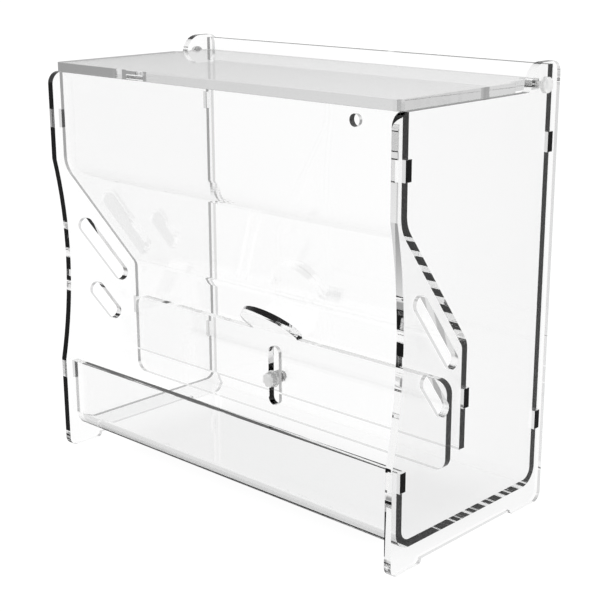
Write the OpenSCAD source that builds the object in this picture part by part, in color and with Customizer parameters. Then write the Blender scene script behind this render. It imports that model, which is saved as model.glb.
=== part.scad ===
// Gravity-feed dispenser bin: flat and bent clear sheets that hold each other by tabs in slots.
// A lid swings on two pins, and a gate slides over the outlet and is clamped by a thumbscrew.
// +X is to the right of a person facing the outlet, +Y to the back, +Z up. The feet stand on z = 0.

/* [Body] */
// Overall width, outer face to outer face of the side panels
body_w = 300; // [220:5:380]
// Overall depth of the side panels
body_d = 150; // [125:5:200]
// Overall height, feet to the top of the hinge ears
body_h = 280; // [230:5:340]
// Thickness of the side panels
side_t = 5; // [4:0.5:6]
// Thickness of the bent sheets
sheet_t = 5; // [4:0.5:6]
// Inner radius of the folds in the bent sheets
bend_r = 7; // [4:0.5:9]
// Inner radius of the chute's upper fold
bend_high_r = 18; // [6:1:24]

/* [Side panels] */
// Length of the front foot
foot_front_l = 28; // [18:1:36]
// Length of the rear foot
foot_rear_l = 33; // [18:1:40]
// Height of the arch between the feet
foot_h = 3; // [2:0.5:6]
// Radius at the toe of each foot
toe_r = 6; // [3:0.5:8]
// Radius at the top front corner
brow_r = 8; // [4:0.5:12]
// How far the upper front edge stands behind the lower one
brow_setback = 1; // [0:0.5:4]
// Depth of the hollow in the front edge
waist_depth = 8; // [2:0.5:8]
// Height at which the hollow starts
waist_low_z = 65; // [50:1:80]
// Distance of the hollow's upper end below the panel's top edge
waist_top_drop = 53; // [20:1:60]
// Radius of the hinge ear
ear_r = 13.1; // [10:0.1:16]
// Radius at the ear's rear corner
ear_heel_r = 7; // [2:0.5:9]
// Distance of the hinge axis in front of the panel's rear edge
ear_back = 16.5; // [16:0.5:22]
// Width of the slanted slots
grip_slot_w = 10; // [6:0.5:12]

/* [Chute] */
// Distance of the chute and the lip behind the panels' front edge
front_margin = 7; // [5:0.5:12]
// Distance of the back sheet in front of the panels' rear edge
rear_margin = 5; // [4:0.5:12]
// Clear depth of the throat, chute to back sheet
throat_d = 70.5; // [50:0.5:80]
// Height of the chute's lower edge
outlet_z = 59; // [45:1:70]
// Height of the chute's lower upright part, to the fold
chute_low_h = 64; // [55:1:75]
// Height of the chute's upper upright part, to the fold
chute_high_h = 63; // [45:1:70]

/* [Tray] */
// Height of the floor's underside
floor_z = 13; // [8:0.5:18]
// Height of the lip's top edge
lip_z = 62; // [50:0.5:75]
// Distance of the back sheet's top edge below the ears' tops
back_drop = 2; // [0:0.5:8]
// Diameter of the hanging hole in the back sheet
hang_d = 9; // [5:0.5:12]
// Distance of the hanging hole below the back sheet's top edge
hang_drop = 46.5; // [20:0.5:60]

/* [Tabs] */
// Length of each tab along its sheet's edge
tab_l = 12; // [8:0.5:14]
// Clearance around a tab in its slot
tab_gap = 0.1; // [0.05:0.05:0.3]
// Clearance between a bent sheet's end and the side panel
end_gap = 0.1; // [0.05:0.05:0.3]
// Distance of the upper tabs below the panels' top edge
tab_high_drop = 37; // [30:1:42]
// Distance of the chute's lower tabs above the chute's lower edge
tab_chute_up = 26.3; // [20:0.1:35]
// Height of the back sheet's lower tabs
tab_back_z = 51; // [40:1:60]

/* [Lid] */
// Thickness of the lid
lid_t = 6; // [4:0.5:8]
// Distance of the lid's side edges inside the panels' outer faces
lid_side_in = 3.3; // [1:0.1:4.5]
// Distance of the lid's front edge in front of the chute
lid_front_out = 2; // [0:0.5:6]
// Length of the lid behind the hinge axis
lid_tail = 4; // [3:0.5:4.5]
// Side gap between the lid's narrow part and the ears
lid_ear_gap = 3; // [1:0.5:5]
// Distance of the lid's shoulders in front of the ears
lid_shoulder_gap = 9.4; // [5:0.1:14]
// Size of the lid's front corners, each trimmed in three flats
lid_corner_r = 4.5; // [2:0.5:12]
// Gap between the closed lid and the panels
lid_gap = 0.3; // [0.2:0.1:1]
// Diameter of the hinge pins
pin_d = 4; // [2.5:0.5:4.5]
// Depth of the hinge pins in the lid's edge
pin_in_lid = 8; // [5:0.5:14]
// Diameter of the hinge pins' heads
pin_head_d = 9.6; // [7:0.2:13]
// Thickness of the hinge pins' heads
pin_head_t = 3; // [1.5:0.5:5]
// Radial clearance of the hinge pins in the ears
pin_gap = 0.08; // [0.04:0.01:0.1]

/* [Gate] */
// Thickness of the gate
gate_t = 5; // [3:0.5:6]
// Side gap between the gate and the side panels
gate_side_gap = 6; // [2:0.5:12]
// Height of the gate's lower edge
gate_z = 44.5; // [38:0.5:50]
// Height of the gate plate
gate_h = 56.3; // [54:0.1:62]
// Radius of the gate's corners
gate_corner_r = 8; // [2:0.5:14]
// Radius of the half-moon finger tab
tab_moon_r = 21.5; // [16:0.5:32]
// Height of the half moon's centre above its fold
tab_moon_rise = 4; // [0:0.5:6]
// Lean of the finger tab away from the chute
tab_moon_lean = 49; // [20:1:55]
// Width of the slot in the gate
gate_slot_w = 9.5; // [8:0.1:12]
// Height of the slot in the gate
gate_slot_h = 40.8; // [30:0.1:44]
// Distance of the slot above the gate's lower edge
gate_slot_up = 6.9; // [5:0.1:8]
// Gap between the gate and the chute
gate_gap = 0.3; // [0.2:0.1:0.6]

/* [Thumbscrew] */
// Height of the thumbscrew's axis
screw_z = 70; // [68:0.5:74]
// Diameter of the thumbscrew's shank
screw_d = 5; // [4:0.5:6]
// Diameter of the knob
knob_d = 10; // [9:0.5:20]
// Thickness of the knob
knob_t = 4; // [3:0.5:8]
// Number of scallops round the knob
knob_scallops = 8; // [5:1:12]
// Diameter of the washer
washer_d = 11.5; // [11:0.5:20]
// Thickness of the washer
washer_t = 1; // [0.5:0.1:2]
// Width of the nut across its flats
nut_af = 7; // [6.5:0.5:10]
// Thickness of the nut
nut_t = 3; // [2:0.5:6]
// Radial clearance of the sleeve in the gate's slot
sleeve_gap = 0.15; // [0.1:0.05:0.3]
// Radial clearance of the shank in its holes
shank_gap = 0.05; // [0.03:0.01:0.1]

/* [Hidden] */
$fn = 96;
over = 1; // how far a cut runs past a face

inner_x = body_w / 2 - side_t;
front_y = -body_d / 2;
rear_y = body_d / 2;
axis_y = rear_y - ear_back;
axis_z = body_h - ear_r;
lid_z = axis_z - lid_t / 2;
panel_top_z = lid_z - lid_gap;

// Chute: front faces of its two upright parts, and the corners where the slope's front face meets them
chute_high_y = front_y + front_margin;
back_y = rear_y - rear_margin - sheet_t;
chute_low_y = back_y - throat_d - sheet_t;
chute_top_z = panel_top_z - 0.2;
fold_high_z = chute_top_z - chute_high_h;
fold_low_z = outlet_z + chute_low_h;
slope_run = chute_low_y - chute_high_y;
slope_drop = fold_high_z - fold_low_z;
slope_a = atan(slope_run / slope_drop);
slope_l = sqrt(slope_run * slope_run + slope_drop * slope_drop);

// Tabs: lower end of each
tab_high_z = panel_top_z - tab_high_drop;
tab_chute_z = outlet_z + tab_chute_up;
tab_lip_z = lip_z - tab_l;

// Slanted slots: each runs along the slope, at a distance in front of it
grip_a_off = 12.7;
grip_a_start = 39.5;
grip_a_end = slope_l + 2.8;
grip_b_off = 34.9;
grip_b_start = slope_l - 14.5;
grip_b_end = slope_l + 20;

// Gate and thumbscrew stack, rear to front
gate_rear_y = chute_low_y - gate_gap;
gate_front_y = gate_rear_y - gate_t;
gate_w = 2 * (inner_x - gate_side_gap);
gate_top_z = gate_z + gate_h;
moon_bend_r = 1.5;
sleeve_d = gate_slot_w - 2 * sleeve_gap;
sleeve_front_y = gate_front_y - 0.2;
washer_rear_y = sleeve_front_y - 0.1;
knob_rear_y = washer_rear_y - washer_t;
knob_front_y = knob_rear_y - knob_t;
screw_tip_y = chute_low_y + sheet_t + nut_t + 1;
shank_hole_d = screw_d + 2 * shank_gap;

clear_acrylic = [0.86, 0.92, 0.94, 0.55];
clear_lid = [0.72, 0.78, 0.80, 0.75];
clear_plastic = [0.90, 0.92, 0.93, 0.8];

// Fillet piece for a square corner at the origin: it fills the corner outside the arc
module corner(r, sides = $fn) {
    difference() {
        translate([-over, -over]) square(r + over);
        translate([r, r]) circle(r, $fn = sides);
    }
}

function unit(v) = v / norm(v);
function left(v) = [-v[1], v[0]];
function turn(a, b) = atan2(a[0] * b[1] - a[1] * b[0], a * b);
function reversed(v) = [for (i = [len(v) - 1 : -1 : 0]) v[i]];

// Arc at corner i of a bent sheet. The path p runs along one face, and the sheet lies t to its left.
// r is the radius on the inner side of the fold. far = 1 gives the other face's arc.
function fold_arc(p, i, t, r, far) =
    let (d0 = unit(p[i] - p[i - 1]), d1 = unit(p[i + 1] - p[i]), a = turn(d0, d1), s = sign(a),
         path_r = s > 0 ? r + t : r,
         arc_r = path_r - far * s * t,
         centre = p[i] - d0 * path_r * tan(abs(a) / 2) + left(d0) * s * path_r,
         a0 = atan2(-s * left(d0)[1], -s * left(d0)[0]),
         steps = ceil(abs(a) / 3))
    [for (k = [0 : steps]) centre + arc_r * [cos(a0 + a * k / steps), sin(a0 + a * k / steps)]];

function face_line(p, t, r, far) =
    let (n = len(p) - 1)
    concat([p[0] + far * t * left(unit(p[1] - p[0]))],
           [for (i = [1 : n - 1]) each fold_arc(p, i, t, r[i - 1], far)],
           [p[n] + far * t * left(unit(p[n] - p[n - 1]))]);

// Profile of a bent sheet along the path p, with one radius in r for each fold
module bent_sheet(p, t, r) {
    polygon(concat(face_line(p, t, r, 0), reversed(face_line(p, t, r, 1))));
}

// Puts a profile drawn in (y, z) across the body, from x0 over a width
module across(x0, w) {
    translate([x0, 0, 0]) rotate([90, 0, 90]) linear_extrude(w) children();
}

// Bar along X from panel to panel, whose ends are the tabs: y is its front face, z its lower end
module tab_bar(y, z) {
    translate([-body_w / 2, y, z]) cube([body_w, sheet_t, tab_l]);
}

// Slanted slot in profile along the chute's slope
module grip_slot(off, start, end) {
    r = grip_slot_w / 2;
    translate([chute_high_y, fold_high_z]) rotate(slope_a - 90) translate([0, -off]) {
        translate([start + r, -r]) square([end - start - 2 * r, 2 * r]);
        for (x = [start + r, end - r]) translate([x, 0]) circle(r);
    }
}

// Places of the tab slots in profile: front face and lower end of each tab
tab_places = [[chute_high_y, tab_high_z], [chute_low_y, tab_chute_z], [back_y, tab_high_z],
              [back_y, tab_back_z], [chute_high_y, tab_lip_z]];

module side_outline() {
    waist_top_z = panel_top_z - waist_top_drop;
    waist_half = (waist_top_z - waist_low_z) / 2;
    waist_r = (waist_half * waist_half + waist_depth * waist_depth) / (2 * waist_depth);
    arch_front_y = front_y + foot_front_l;
    arch_rear_y = rear_y - foot_rear_l;
    ear_front_y = axis_y - ear_r;
    ear_foot_r = axis_z - panel_top_z;
    difference() {
        union() {
            translate([front_y, 0]) square([body_d, panel_top_z]);
            translate([axis_y, axis_z]) circle(ear_r);
            translate([axis_y, panel_top_z - over]) square([ear_back, body_h - panel_top_z + over]);
            translate([ear_front_y, panel_top_z - over]) square([ear_r, ear_foot_r + over]);
            translate([ear_front_y, panel_top_z]) mirror([1, 0]) corner(ear_foot_r);
        }
        // upper front edge set back, then the hollow and the corners
        translate([front_y - over, waist_low_z + waist_half])
            square([brow_setback + over, body_h]);
        translate([front_y + waist_depth - waist_r, waist_low_z + waist_half]) circle(waist_r, $fn = 360);
        translate([front_y + brow_setback, panel_top_z]) mirror([0, 1]) corner(brow_r);
        translate([front_y, 0]) corner(toe_r);
        translate([rear_y, 0]) mirror([1, 0]) corner(toe_r);
        translate([rear_y, body_h]) rotate(180) corner(ear_heel_r);
        // arch between the feet, with rounded ends
        translate([arch_front_y, -over]) square([arch_rear_y - arch_front_y, foot_h + over]);
        translate([arch_front_y, 0]) mirror([1, 0]) corner(foot_h);
        translate([arch_rear_y, 0]) corner(foot_h);
    }
}

module side_panel(s) {
    color(clear_acrylic) across(s > 0 ? inner_x : -body_w / 2, side_t) difference() {
        side_outline();
        for (p = tab_places) translate([p[0] - tab_gap, p[1] - tab_gap])
            square([sheet_t + 2 * tab_gap, tab_l + 2 * tab_gap]);
        grip_slot(grip_a_off, grip_a_start, grip_a_end);
        grip_slot(grip_b_off, grip_b_start, grip_b_end);
        translate([axis_y, axis_z]) circle(pin_d / 2 + pin_gap);
    }
}

module side_panel_right() {
    side_panel(1);
}

module side_panel_left() {
    side_panel(-1);
}

module chute_outline() {
    bent_sheet([[chute_high_y, chute_top_z], [chute_high_y, fold_high_z], [chute_low_y, fold_low_z],
                [chute_low_y, outlet_z]], sheet_t, [bend_high_r, bend_r]);
}

module chute_panel() {
    color(clear_acrylic) difference() {
        union() {
            across(end_gap - inner_x, 2 * (inner_x - end_gap)) chute_outline();
            tab_bar(chute_high_y, tab_high_z);
            tab_bar(chute_low_y, tab_chute_z);
        }
        translate([0, chute_low_y - over, screw_z]) rotate([-90, 0, 0])
            cylinder(h = sheet_t + 2 * over, d = shank_hole_d);
    }
}

module tray_outline() {
    back_rear_y = back_y + sheet_t;
    bent_sheet([[chute_high_y, lip_z], [chute_high_y, floor_z], [back_rear_y, floor_z],
                [back_rear_y, body_h - back_drop]], sheet_t, [bend_r, bend_r]);
}

module tray_panel() {
    color(clear_acrylic) difference() {
        union() {
            across(end_gap - inner_x, 2 * (inner_x - end_gap)) tray_outline();
            tab_bar(back_y, tab_high_z);
            tab_bar(back_y, tab_back_z);
            tab_bar(chute_high_y, tab_lip_z);
        }
        translate([0, back_y - over, body_h - back_drop - hang_drop]) rotate([-90, 0, 0])
            cylinder(h = sheet_t + 2 * over, d = hang_d);
    }
}

// Lid: its wide part rests over the panels' top edges, its tail runs between the ears
module lid() {
    lid_x = body_w / 2 - lid_side_in;
    tail_x = inner_x - lid_ear_gap;
    lid_front_y = chute_high_y - lid_front_out;
    shoulder_y = axis_y - ear_r - lid_shoulder_gap;
    tail_y = axis_y + lid_tail;
    edge_r = 2.5;
    color(clear_lid) difference() {
        translate([0, 0, lid_z]) linear_extrude(lid_t) difference() {
            union() {
                translate([-lid_x, lid_front_y]) square([2 * lid_x, shoulder_y - lid_front_y]);
                translate([-tail_x, shoulder_y - over]) square([2 * tail_x, tail_y - shoulder_y + over]);
            }
            for (s = [0, 1]) mirror([s, 0]) {
                translate([-lid_x, lid_front_y]) corner(lid_corner_r, 12);
                translate([-lid_x, shoulder_y]) mirror([0, 1]) corner(edge_r);
                translate([-tail_x, tail_y]) mirror([0, 1]) corner(edge_r);
            }
        }
        for (s = [-1, 1]) translate([s * (tail_x - pin_in_lid - 0.5), axis_y, axis_z]) rotate([0, s * 90, 0])
            cylinder(h = pin_in_lid + 0.5 + over, d = pin_d + 0.04);
    }
}

// Hinge pin: shank from the lid's edge through the ear, and a head with a rounded rim outside
module hinge_pin(s) {
    head_gap = 0.3;
    rim_r = 0.8;
    shank_l = body_w / 2 + head_gap - (inner_x - lid_ear_gap - pin_in_lid);
    color(clear_plastic) translate([s * (inner_x - lid_ear_gap - pin_in_lid), axis_y, axis_z])
        rotate([0, s * 90, 0]) {
            cylinder(h = shank_l + over, d = pin_d);
            translate([0, 0, shank_l]) rotate_extrude() difference() {
                square([pin_head_d / 2, pin_head_t]);
                translate([pin_head_d / 2, pin_head_t]) rotate(180) corner(rim_r);
            }
        }
}

module hinge_pin_right() {
    hinge_pin(1);
}

module hinge_pin_left() {
    hinge_pin(-1);
}

// Gate: plate with rounded corners and an upright slot, and a half-moon tab that leans to the front
module gate_plate() {
    slot_r = gate_slot_w / 2;
    // finger tab's fold: it starts at the plate's top edge, fold_l short of the corner between the rear faces
    fold_l = (moon_bend_r + gate_t) * tan(tab_moon_lean / 2);
    corner_z = gate_top_z + fold_l;
    root_l = 5;
    root_w = 2 * sqrt(tab_moon_r * tab_moon_r - tab_moon_rise * tab_moon_rise);
    strip_l = 2 * tab_moon_r + tab_moon_rise;
    color(clear_acrylic) {
        translate([0, gate_rear_y, 0]) rotate([90, 0, 0]) linear_extrude(gate_t) difference() {
            translate([-gate_w / 2, gate_z]) square([gate_w, gate_h]);
            for (s = [0, 1]) mirror([s, 0]) {
                translate([-gate_w / 2, gate_z]) corner(gate_corner_r);
                translate([-gate_w / 2, gate_top_z]) mirror([0, 1]) corner(gate_corner_r);
            }
            translate([-slot_r, gate_z + gate_slot_up + slot_r])
                square([gate_slot_w, gate_slot_h - gate_slot_w]);
            for (z = [slot_r, gate_slot_h - slot_r])
                translate([0, gate_z + gate_slot_up + z]) circle(slot_r);
        }
        // finger tab: a strip that folds forward, trimmed to a half moon
        intersection() {
            across(-tab_moon_r, 2 * tab_moon_r) bent_sheet([
                [gate_rear_y, gate_top_z - root_l], [gate_rear_y, corner_z],
                [gate_rear_y - strip_l * sin(tab_moon_lean), corner_z + strip_l * cos(tab_moon_lean)]
            ], gate_t, [moon_bend_r]);
            translate([0, gate_rear_y, corner_z]) rotate([tab_moon_lean, 0, 0]) rotate([90, 0, 0])
                linear_extrude(4 * gate_t, center = true) {
                    translate([0, fold_l + tab_moon_rise]) circle(tab_moon_r);
                    translate([-root_w / 2, fold_l - 2 * root_l]) square([root_w, 2 * root_l]);
                }
        }
    }
}

// Thumbscrew: scalloped knob and a plain shank to the nut behind the chute
module gate_thumbscrew() {
    scallop_r = knob_d * 0.14;
    color(clear_plastic) translate([0, knob_front_y, screw_z]) rotate([-90, 0, 0]) {
        difference() {
            cylinder(h = knob_t, d = knob_d);
            for (i = [0 : knob_scallops - 1]) rotate(i * 360 / knob_scallops)
                translate([knob_d / 2 + scallop_r * 0.45, 0, -over])
                    cylinder(h = knob_t + 2 * over, r = scallop_r);
        }
        cylinder(h = screw_tip_y - knob_front_y, d = screw_d);
    }
}

module gate_washer() {
    color(clear_plastic) translate([0, knob_rear_y, screw_z]) rotate([-90, 0, 0]) difference() {
        cylinder(h = washer_t, d = washer_d);
        translate([0, 0, -over]) cylinder(h = washer_t + 2 * over, d = shank_hole_d);
    }
}

// Sleeve that the gate's slot slides along
module gate_sleeve() {
    color(clear_plastic) translate([0, sleeve_front_y, screw_z]) rotate([-90, 0, 0]) difference() {
        cylinder(h = chute_low_y - sleeve_front_y, d = sleeve_d);
        translate([0, 0, -over]) cylinder(h = chute_low_y - sleeve_front_y + 2 * over, d = shank_hole_d);
    }
}

module gate_nut() {
    color(clear_plastic) translate([0, chute_low_y + sheet_t, screw_z]) rotate([-90, 0, 0]) difference() {
        cylinder(h = nut_t, d = nut_af / cos(30), $fn = 6);
        translate([0, 0, -over]) cylinder(h = nut_t + 2 * over, d = shank_hole_d);
    }
}

side_panel_right();
side_panel_left();
chute_panel();
tray_panel();
lid();
hinge_pin_right();
hinge_pin_left();
gate_plate();
gate_thumbscrew();
gate_washer();
gate_sleeve();
gate_nut();
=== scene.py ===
import math

import bpy
from mathutils import Matrix, Vector

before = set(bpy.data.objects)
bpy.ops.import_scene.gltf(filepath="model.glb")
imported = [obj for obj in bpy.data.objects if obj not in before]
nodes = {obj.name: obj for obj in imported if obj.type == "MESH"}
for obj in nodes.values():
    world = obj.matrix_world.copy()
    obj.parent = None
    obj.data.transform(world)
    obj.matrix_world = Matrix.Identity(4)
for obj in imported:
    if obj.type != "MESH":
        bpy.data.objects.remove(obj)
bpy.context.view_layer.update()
print("frame loaded:", len(nodes), "nodes")

# camera: place in metres, angles in degrees
viewPoint = {
    "place": (0.58183, -0.60356, 0.35703),
    "azimuth": 43.231,
    "elevation": 16.031,
    "roll": -0.140,
    "lens": 78.21,
}


def makeCamera(v):
    # right, up and back are the matrix's columns, turned about the view line by the roll
    a, e, r = (math.radians(v[k]) for k in ("azimuth", "elevation", "roll"))
    ahead = Vector((-math.sin(a) * math.cos(e), math.cos(a) * math.cos(e), -math.sin(e)))
    right = Vector((math.cos(a), math.sin(a), 0))
    up = right.cross(ahead)
    rolledRight = right * math.cos(r) + up * math.sin(r)
    rolledUp = up * math.cos(r) - right * math.sin(r)
    data = bpy.data.cameras.new("camera")
    data.lens = v["lens"]
    data.sensor_width = 36
    data.clip_start = 0.01
    camera = bpy.data.objects.new("camera", data)
    turned = Matrix((rolledRight, rolledUp, -ahead)).transposed().to_4x4()
    camera.matrix_world = Matrix.Translation(v["place"]) @ turned
    bpy.context.scene.collection.objects.link(camera)
    bpy.context.scene.camera = camera


makeCamera(viewPoint)
print("camera placed")

# The studio as three kinds of ray see it, told apart by how often they were reflected:
# never (straight, or through a sheet), once (a mirror image), more often (guided inside a sheet).
# Strengths are 1 for white. An edge is where a smooth step starts and ends
room = {
    "onceFrom": 0.5,
    "guidedFrom": 1.5,
    "straight": 1.065,
    "mirrorLow": 0.24,
    "mirrorHigh": 0.80,
    "mirrorEdge": (-0.05, 0.2),
    "mirrorTop": 0.5,
    "topEdge": (0.4, 0.7),
    "throughLow": 0.76,
    "throughWay": (0.68, 0.73),
    "throughEdge": (0.5, 0.85),
    "throughDim": 0.32,
    "horizon": 0.34,
    "bright": 1.0,
    "brightFrom": (0.08, 0.34),
    "backWay": (-0.68, 0.73),
    "backEdge": (0.50, 0.82),
    "backGain": 0.36,
    "frontWay": (0.0, -1.0),
    "frontEdge": (0.60, 0.80),
    "frontGain": 0.30,
    "floorHalfWidth": 20.0,
    # painted shadow on the floor under the bin: its half size and reach in metres, and how much it
    # darkens
    "shadeHalf": (0.10, 0.03),
    "shadeReach": 0.05,
    "shade": 0.10,
    "lightBounces": 40,
    "insideBounces": 14,
}


def wire(tree, kind, links=(), **fixed):
    # one node with its settings by name, and its inputs by place or name, linked or set
    node = tree.nodes.new(kind)
    for key, value in fixed.items():
        setattr(node, key, value)
    for place, source in links:
        if hasattr(source, "links"):
            tree.links.new(source, node.inputs[place])
        else:
            node.inputs[place].default_value = source
    return node


def vector(tree, operation, *values):
    return wire(tree, "ShaderNodeVectorMath", enumerate(values), operation=operation).outputs


def maths(tree, operation, *values):
    return wire(tree, "ShaderNodeMath", enumerate(values), operation=operation).outputs[0]


def ramp(tree, value, edge, low, high):
    # low below the edge's first value, high above its second, smooth between
    links = [(0, value), (1, edge[0]), (2, edge[1]), (3, low), (4, high)]
    return wire(tree, "ShaderNodeMapRange", links, interpolation_type="SMOOTHSTEP").outputs[0]


def lobe(tree, level, way, edge, low, high):
    # smooth step of (level direction . way)
    toward = vector(tree, "DOT_PRODUCT", level, (*way, 0))["Value"]
    return ramp(tree, toward, edge, low, high)


def blend(tree, share, low, high):
    # low x (1 - share) + high x share
    return wire(tree, "ShaderNodeMix", [(0, share), (2, low), (3, high)]).outputs[0]


def makeSurround(r):
    world = bpy.data.worlds.new("surround")
    world.use_nodes = True
    tree = world.node_tree
    way = wire(tree, "ShaderNodeTexCoord").outputs["Generated"]
    parts = wire(tree, "ShaderNodeSeparateXYZ", [(0, way)])
    flat = wire(tree, "ShaderNodeCombineXYZ", [(0, parts.outputs[0]), (1, parts.outputs[1])])
    level = vector(tree, "NORMALIZE", flat.outputs[0])[0]
    back = lobe(tree, level, r["backWay"], r["backEdge"], 0.0, r["backGain"])
    front = lobe(tree, level, r["frontWay"], r["frontEdge"], 0.0, r["frontGain"])
    horizon = maths(tree, "ADD", maths(tree, "ADD", back, front), r["horizon"])
    height = parts.outputs[2]
    slant = maths(tree, "ABSOLUTE", height)
    guided = ramp(tree, slant, r["brightFrom"], horizon, r["bright"])
    throughLow = lobe(
        tree, level, r["throughWay"], r["throughEdge"], r["throughLow"], r["throughDim"]
    )
    path = wire(tree, "ShaderNodeLightPath")
    low = blend(tree, path.outputs["Is Transmission Ray"], r["mirrorLow"], throughLow)
    above = ramp(tree, height, r["topEdge"], r["mirrorHigh"], r["mirrorTop"])
    mirrored = ramp(tree, height, r["mirrorEdge"], low, above)
    depth = path.outputs["Glossy Depth"]
    once = maths(tree, "LESS_THAN", depth, r["guidedFrom"])
    never = maths(tree, "LESS_THAN", depth, r["onceFrom"])
    reflected = blend(tree, once, guided, mirrored)
    strength = blend(tree, never, reflected, r["straight"])
    sky = tree.nodes["Background"]
    sky.inputs["Color"].default_value = (1, 1, 1, 1)
    tree.links.new(strength, sky.inputs["Strength"])
    bpy.context.scene.world = world


def makeFloor(r):
    # white, with a painted shadow under the bin: 1 - shade x (1 - smooth step of the distance from
    # it).
    # Only a ray that was never reflected sees it
    w = r["floorHalfWidth"]
    mesh = bpy.data.meshes.new("floor")
    mesh.from_pydata([(-w, -w, 0), (w, -w, 0), (w, w, 0), (-w, w, 0)], [], [(0, 1, 2, 3)])
    floor = bpy.data.objects.new("floor", mesh)
    bpy.context.scene.collection.objects.link(floor)
    paint = bpy.data.materials.new("floorPaint")
    paint.use_nodes = True
    tree = paint.node_tree
    tree.nodes.remove(tree.nodes["Principled BSDF"])
    place = wire(tree, "ShaderNodeTexCoord").outputs["Object"]
    parts = wire(tree, "ShaderNodeSeparateXYZ", [(0, place)])
    outside = []
    for k in (0, 1):
        away = maths(tree, "ABSOLUTE", parts.outputs[k])
        past = maths(tree, "SUBTRACT", away, r["shadeHalf"][k])
        outside.append(maths(tree, "MAXIMUM", past, 0.0))
    squares = [maths(tree, "POWER", side, 2.0) for side in outside]
    span = maths(tree, "SQRT", maths(tree, "ADD", *squares))
    # floor strength inside the painted shadow under the bin
    under = r["straight"] * (1 - r["shade"])
    lit = ramp(tree, span, (0.0, r["shadeReach"]), under, r["straight"])
    depth = wire(tree, "ShaderNodeLightPath").outputs["Glossy Depth"]
    white = wire(tree, "ShaderNodeEmission", [("Strength", lit)])
    clearSkin = wire(tree, "ShaderNodeBsdfTransparent")
    never = maths(tree, "LESS_THAN", depth, r["onceFrom"])
    links = [(0, never), (1, clearSkin.outputs[0]), (2, white.outputs[0])]
    both = wire(tree, "ShaderNodeMixShader", links)
    tree.links.new(both.outputs[0], tree.nodes["Material Output"].inputs["Surface"])
    mesh.materials.append(paint)


def makeRoom(r):
    makeSurround(r)
    makeFloor(r)
    scene = bpy.context.scene
    scene.view_settings.view_transform = "Standard"
    scene.cycles.max_bounces = r["lightBounces"]
    scene.cycles.transmission_bounces = r["lightBounces"]
    scene.cycles.glossy_bounces = r["insideBounces"]


makeRoom(room)
print("room made")


def makeGroup(name, inputs, outputs):
    # an empty node group: (name, kind, value) for each input and (name, kind) for each output
    tree = bpy.data.node_groups.new(name, "ShaderNodeTree")
    for label, kind, value in inputs:
        socket = tree.interface.new_socket(name=label, in_out="INPUT", socket_type=kind)
        if value is not None:
            socket.default_value = value
    for label, kind in outputs:
        tree.interface.new_socket(name=label, in_out="OUTPUT", socket_type=kind)
    return tree, tree.nodes.new("NodeGroupInput").outputs, tree.nodes.new("NodeGroupOutput").inputs


# Clouds and speckle are where each starts and is full in its noise,
# and cutFacing where a face counts as turned along X
wearAndShade = {
    "clouds": (0.48, 0.68),
    "speckle": (0.35, 0.65),
    "leastSpeckle": 0.3,
    "speckleFineness": 9.0,
    "cutFacing": (0.4, 0.6),
}


def noise(tree, place, scale, detail):
    links = [("Vector", place), ("Scale", scale), ("Detail", detail)]
    return wire(tree, "ShaderNodeTexNoise", links).outputs[0]


def makeSmudgesAndShade(m):
    # broad clouds x fine speckle, 0 where clean and 1 where marked, as a tint and a roughness. The
    # marks are smudges on the sheets and painted shade on the nylon fittings
    white = (1, 1, 1, 1)
    inputs = [
        ("Vector", "NodeSocketVector", None),
        ("Scale", "NodeSocketFloat", 20.0),
        ("Clean", "NodeSocketColor", white),
        ("Smudged And Shaded", "NodeSocketColor", white),
        ("Clean Roughness", "NodeSocketFloat", 0.0),
        ("Smudged And Shaded Roughness", "NodeSocketFloat", 0.01),
    ]
    outputs = [("Color", "NodeSocketColor"), ("Roughness", "NodeSocketFloat")]
    tree, given, out = makeGroup("smudgesAndShade", inputs, outputs)
    fineScale = maths(tree, "MULTIPLY", given["Scale"], m["speckleFineness"])
    clouds = ramp(tree, noise(tree, given["Vector"], given["Scale"], 3.0), m["clouds"], 0.0, 1.0)
    fine = noise(tree, given["Vector"], fineScale, 4.0)
    speckle = ramp(tree, fine, m["speckle"], m["leastSpeckle"], 1.0)
    smudgedAndShaded = maths(tree, "MULTIPLY", clouds, speckle)
    links = [(0, smudgedAndShaded), (6, given["Clean"]), (7, given["Smudged And Shaded"])]  # 6 and 7 are Mix's colours
    tint = wire(tree, "ShaderNodeMix", links, data_type="RGBA")
    tree.links.new(tint.outputs[2], out["Color"])
    rough = blend(tree, smudgedAndShaded, given["Clean Roughness"], given["Smudged And Shaded Roughness"])
    tree.links.new(rough, out["Roughness"])
    return tree


def makeCutLines(m):
    # fine lines across the sheet's thickness, on its cut faces only:
    # the faces along X if Ends is 1, else all the others
    inputs = [
        ("Vector", "NodeSocketVector", None),
        ("Normal", "NodeSocketVector", None),
        ("Stretch", "NodeSocketVector", (60.0, 1100.0, 1100.0)),
        ("Ends", "NodeSocketFloat", 0.0),
    ]
    tree, given, out = makeGroup("cutLines", inputs, [("Height", "NodeSocketFloat")])
    place = vector(tree, "MULTIPLY", given["Vector"], given["Stretch"])[0]
    lines = noise(tree, place, 1.0, 2.0)
    sideways = wire(tree, "ShaderNodeSeparateXYZ", [(0, given["Normal"])]).outputs[0]
    facing = ramp(tree, maths(tree, "ABSOLUTE", sideways), m["cutFacing"], 0.0, 1.0)
    cut = blend(tree, given["Ends"], maths(tree, "SUBTRACT", 1.0, facing), facing)
    tree.links.new(maths(tree, "MULTIPLY", lines, cut), out["Height"])
    return tree


smudgesAndShade = makeSmudgesAndShade(wearAndShade)
cutLines = makeCutLines(wearAndShade)

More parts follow.
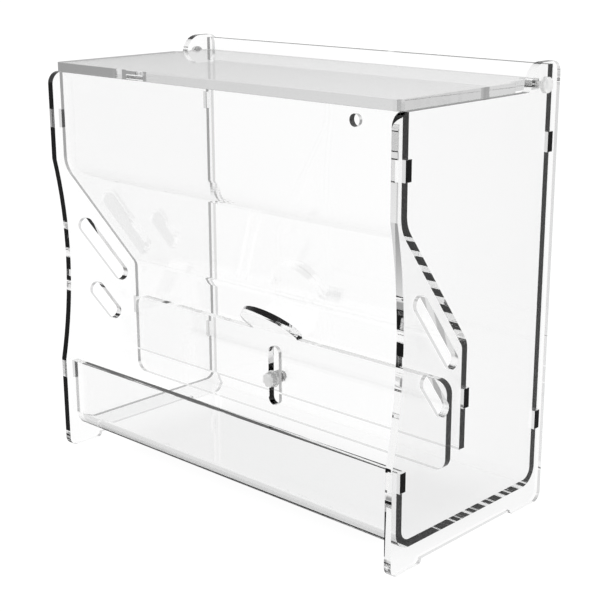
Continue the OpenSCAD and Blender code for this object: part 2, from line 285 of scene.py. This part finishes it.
# Clear sheets: tint and roughness where clean and where smudged, in smudges per metre.
# Stretch is in cut lines per metre along X, Y and Z, and depth is in metres
acrylic = {
    "ior": 1.49,
    "transmission": 1.0,
    "clean": (0.996, 0.996, 0.996, 1),
    "smudgedAndShaded": (0.989, 0.991, 0.991, 1),
    "roughness": (0.0, 0.006),
    "smudgeAndShadeScale": 16.0,
    "stretch": (40.0, 900.0, 900.0),
    "lineStrength": 0.02,
    "lineDepth": 0.0001,
}
# the lid is handled most
lidSheet = {
    **acrylic,
    "clean": (0.994, 0.994, 0.995, 1),
    "roughness": (0.0, 0.01),
    "smudgeAndShadeScale": 11.0,
}
# moulded clear nylon, milky inside and faintly frosted, with darker mottles of painted shade in
# its tint
nylon = {
    "ior": 1.53,
    "transmission": 0.2,
    "clean": (0.985, 0.985, 0.98, 1),
    # painted shade: the dark mottled marks in the nylon's tint
    "smudgedAndShaded": (0.82, 0.825, 0.825, 1),
    "roughness": (0.06, 0.2),
    "smudgeAndShadeScale": 190.0,
    "stretch": (900.0, 900.0, 900.0),
    "lineStrength": 0.05,
    "lineDepth": 0.00005,
}


def makeClear(name, m, ends):
    # a clear solid with smudges (painted shade marks on the fittings), and cut lines on its ends
    # if ends is 1, else on its outline
    material = bpy.data.materials.new(name)
    material.use_nodes = True
    tree = material.node_tree
    skin = tree.nodes["Principled BSDF"]
    skin.inputs["IOR"].default_value = m["ior"]
    skin.inputs["Transmission Weight"].default_value = m["transmission"]
    own = wire(tree, "ShaderNodeTexCoord").outputs
    look = wire(tree, "ShaderNodeGroup", node_tree=smudgesAndShade)
    tree.links.new(own["Object"], look.inputs["Vector"])
    look.inputs["Scale"].default_value = m["smudgeAndShadeScale"]
    look.inputs["Clean"].default_value = m["clean"]
    look.inputs["Smudged And Shaded"].default_value = m["smudgedAndShaded"]
    look.inputs["Clean Roughness"].default_value = m["roughness"][0]
    look.inputs["Smudged And Shaded Roughness"].default_value = m["roughness"][1]
    tree.links.new(look.outputs["Color"], skin.inputs["Base Color"])
    tree.links.new(look.outputs["Roughness"], skin.inputs["Roughness"])
    lines = wire(tree, "ShaderNodeGroup", node_tree=cutLines)
    tree.links.new(own["Object"], lines.inputs["Vector"])
    tree.links.new(own["Normal"], lines.inputs["Normal"])
    lines.inputs["Stretch"].default_value = m["stretch"]
    lines.inputs["Ends"].default_value = ends
    links = [("Strength", m["lineStrength"]), ("Distance", m["lineDepth"])]
    bump = wire(tree, "ShaderNodeBump", links)
    tree.links.new(lines.outputs["Height"], bump.inputs["Height"])
    tree.links.new(bump.outputs[0], skin.inputs["Normal"])
    return material


sideAcrylic = makeClear("sideAcrylic", acrylic, 0.0)
bentAcrylic = makeClear("bentAcrylic", acrylic, 1.0)
lidAcrylic = makeClear("lidAcrylic", lidSheet, 1.0)
clearFitting = makeClear("clearFitting", nylon, 0.0)
finishes = {
    "side_panel_right": sideAcrylic,
    "side_panel_left": sideAcrylic,
    "chute_panel": bentAcrylic,
    "tray_panel": bentAcrylic,
    "gate_plate": bentAcrylic,
    "lid": lidAcrylic,
}
for name, piece in nodes.items():
    piece.data.materials.clear()
    piece.data.materials.append(finishes.get(name, clearFitting))
print("materials made:", len(finishes), "sheets and", len(nodes) - len(finishes), "fittings")

# moulded edges of the fittings, rounded over in metres; doubles are merged first
moulding = {"merge": 0.00001, "width": 0.0004, "segments": 2, "angle": 35.0}


def roundOver(piece, m):
    weld = piece.modifiers.new("weld", "WELD")
    weld.merge_threshold = m["merge"]
    bevel = piece.modifiers.new("roundOver", "BEVEL")
    bevel.width = m["width"]
    bevel.segments = m["segments"]
    bevel.limit_method = "ANGLE"
    bevel.angle_limit = math.radians(m["angle"])


for name in ("gate_thumbscrew", "gate_washer", "gate_nut"):
    roundOver(nodes[name], moulding)
print("fittings rounded over")
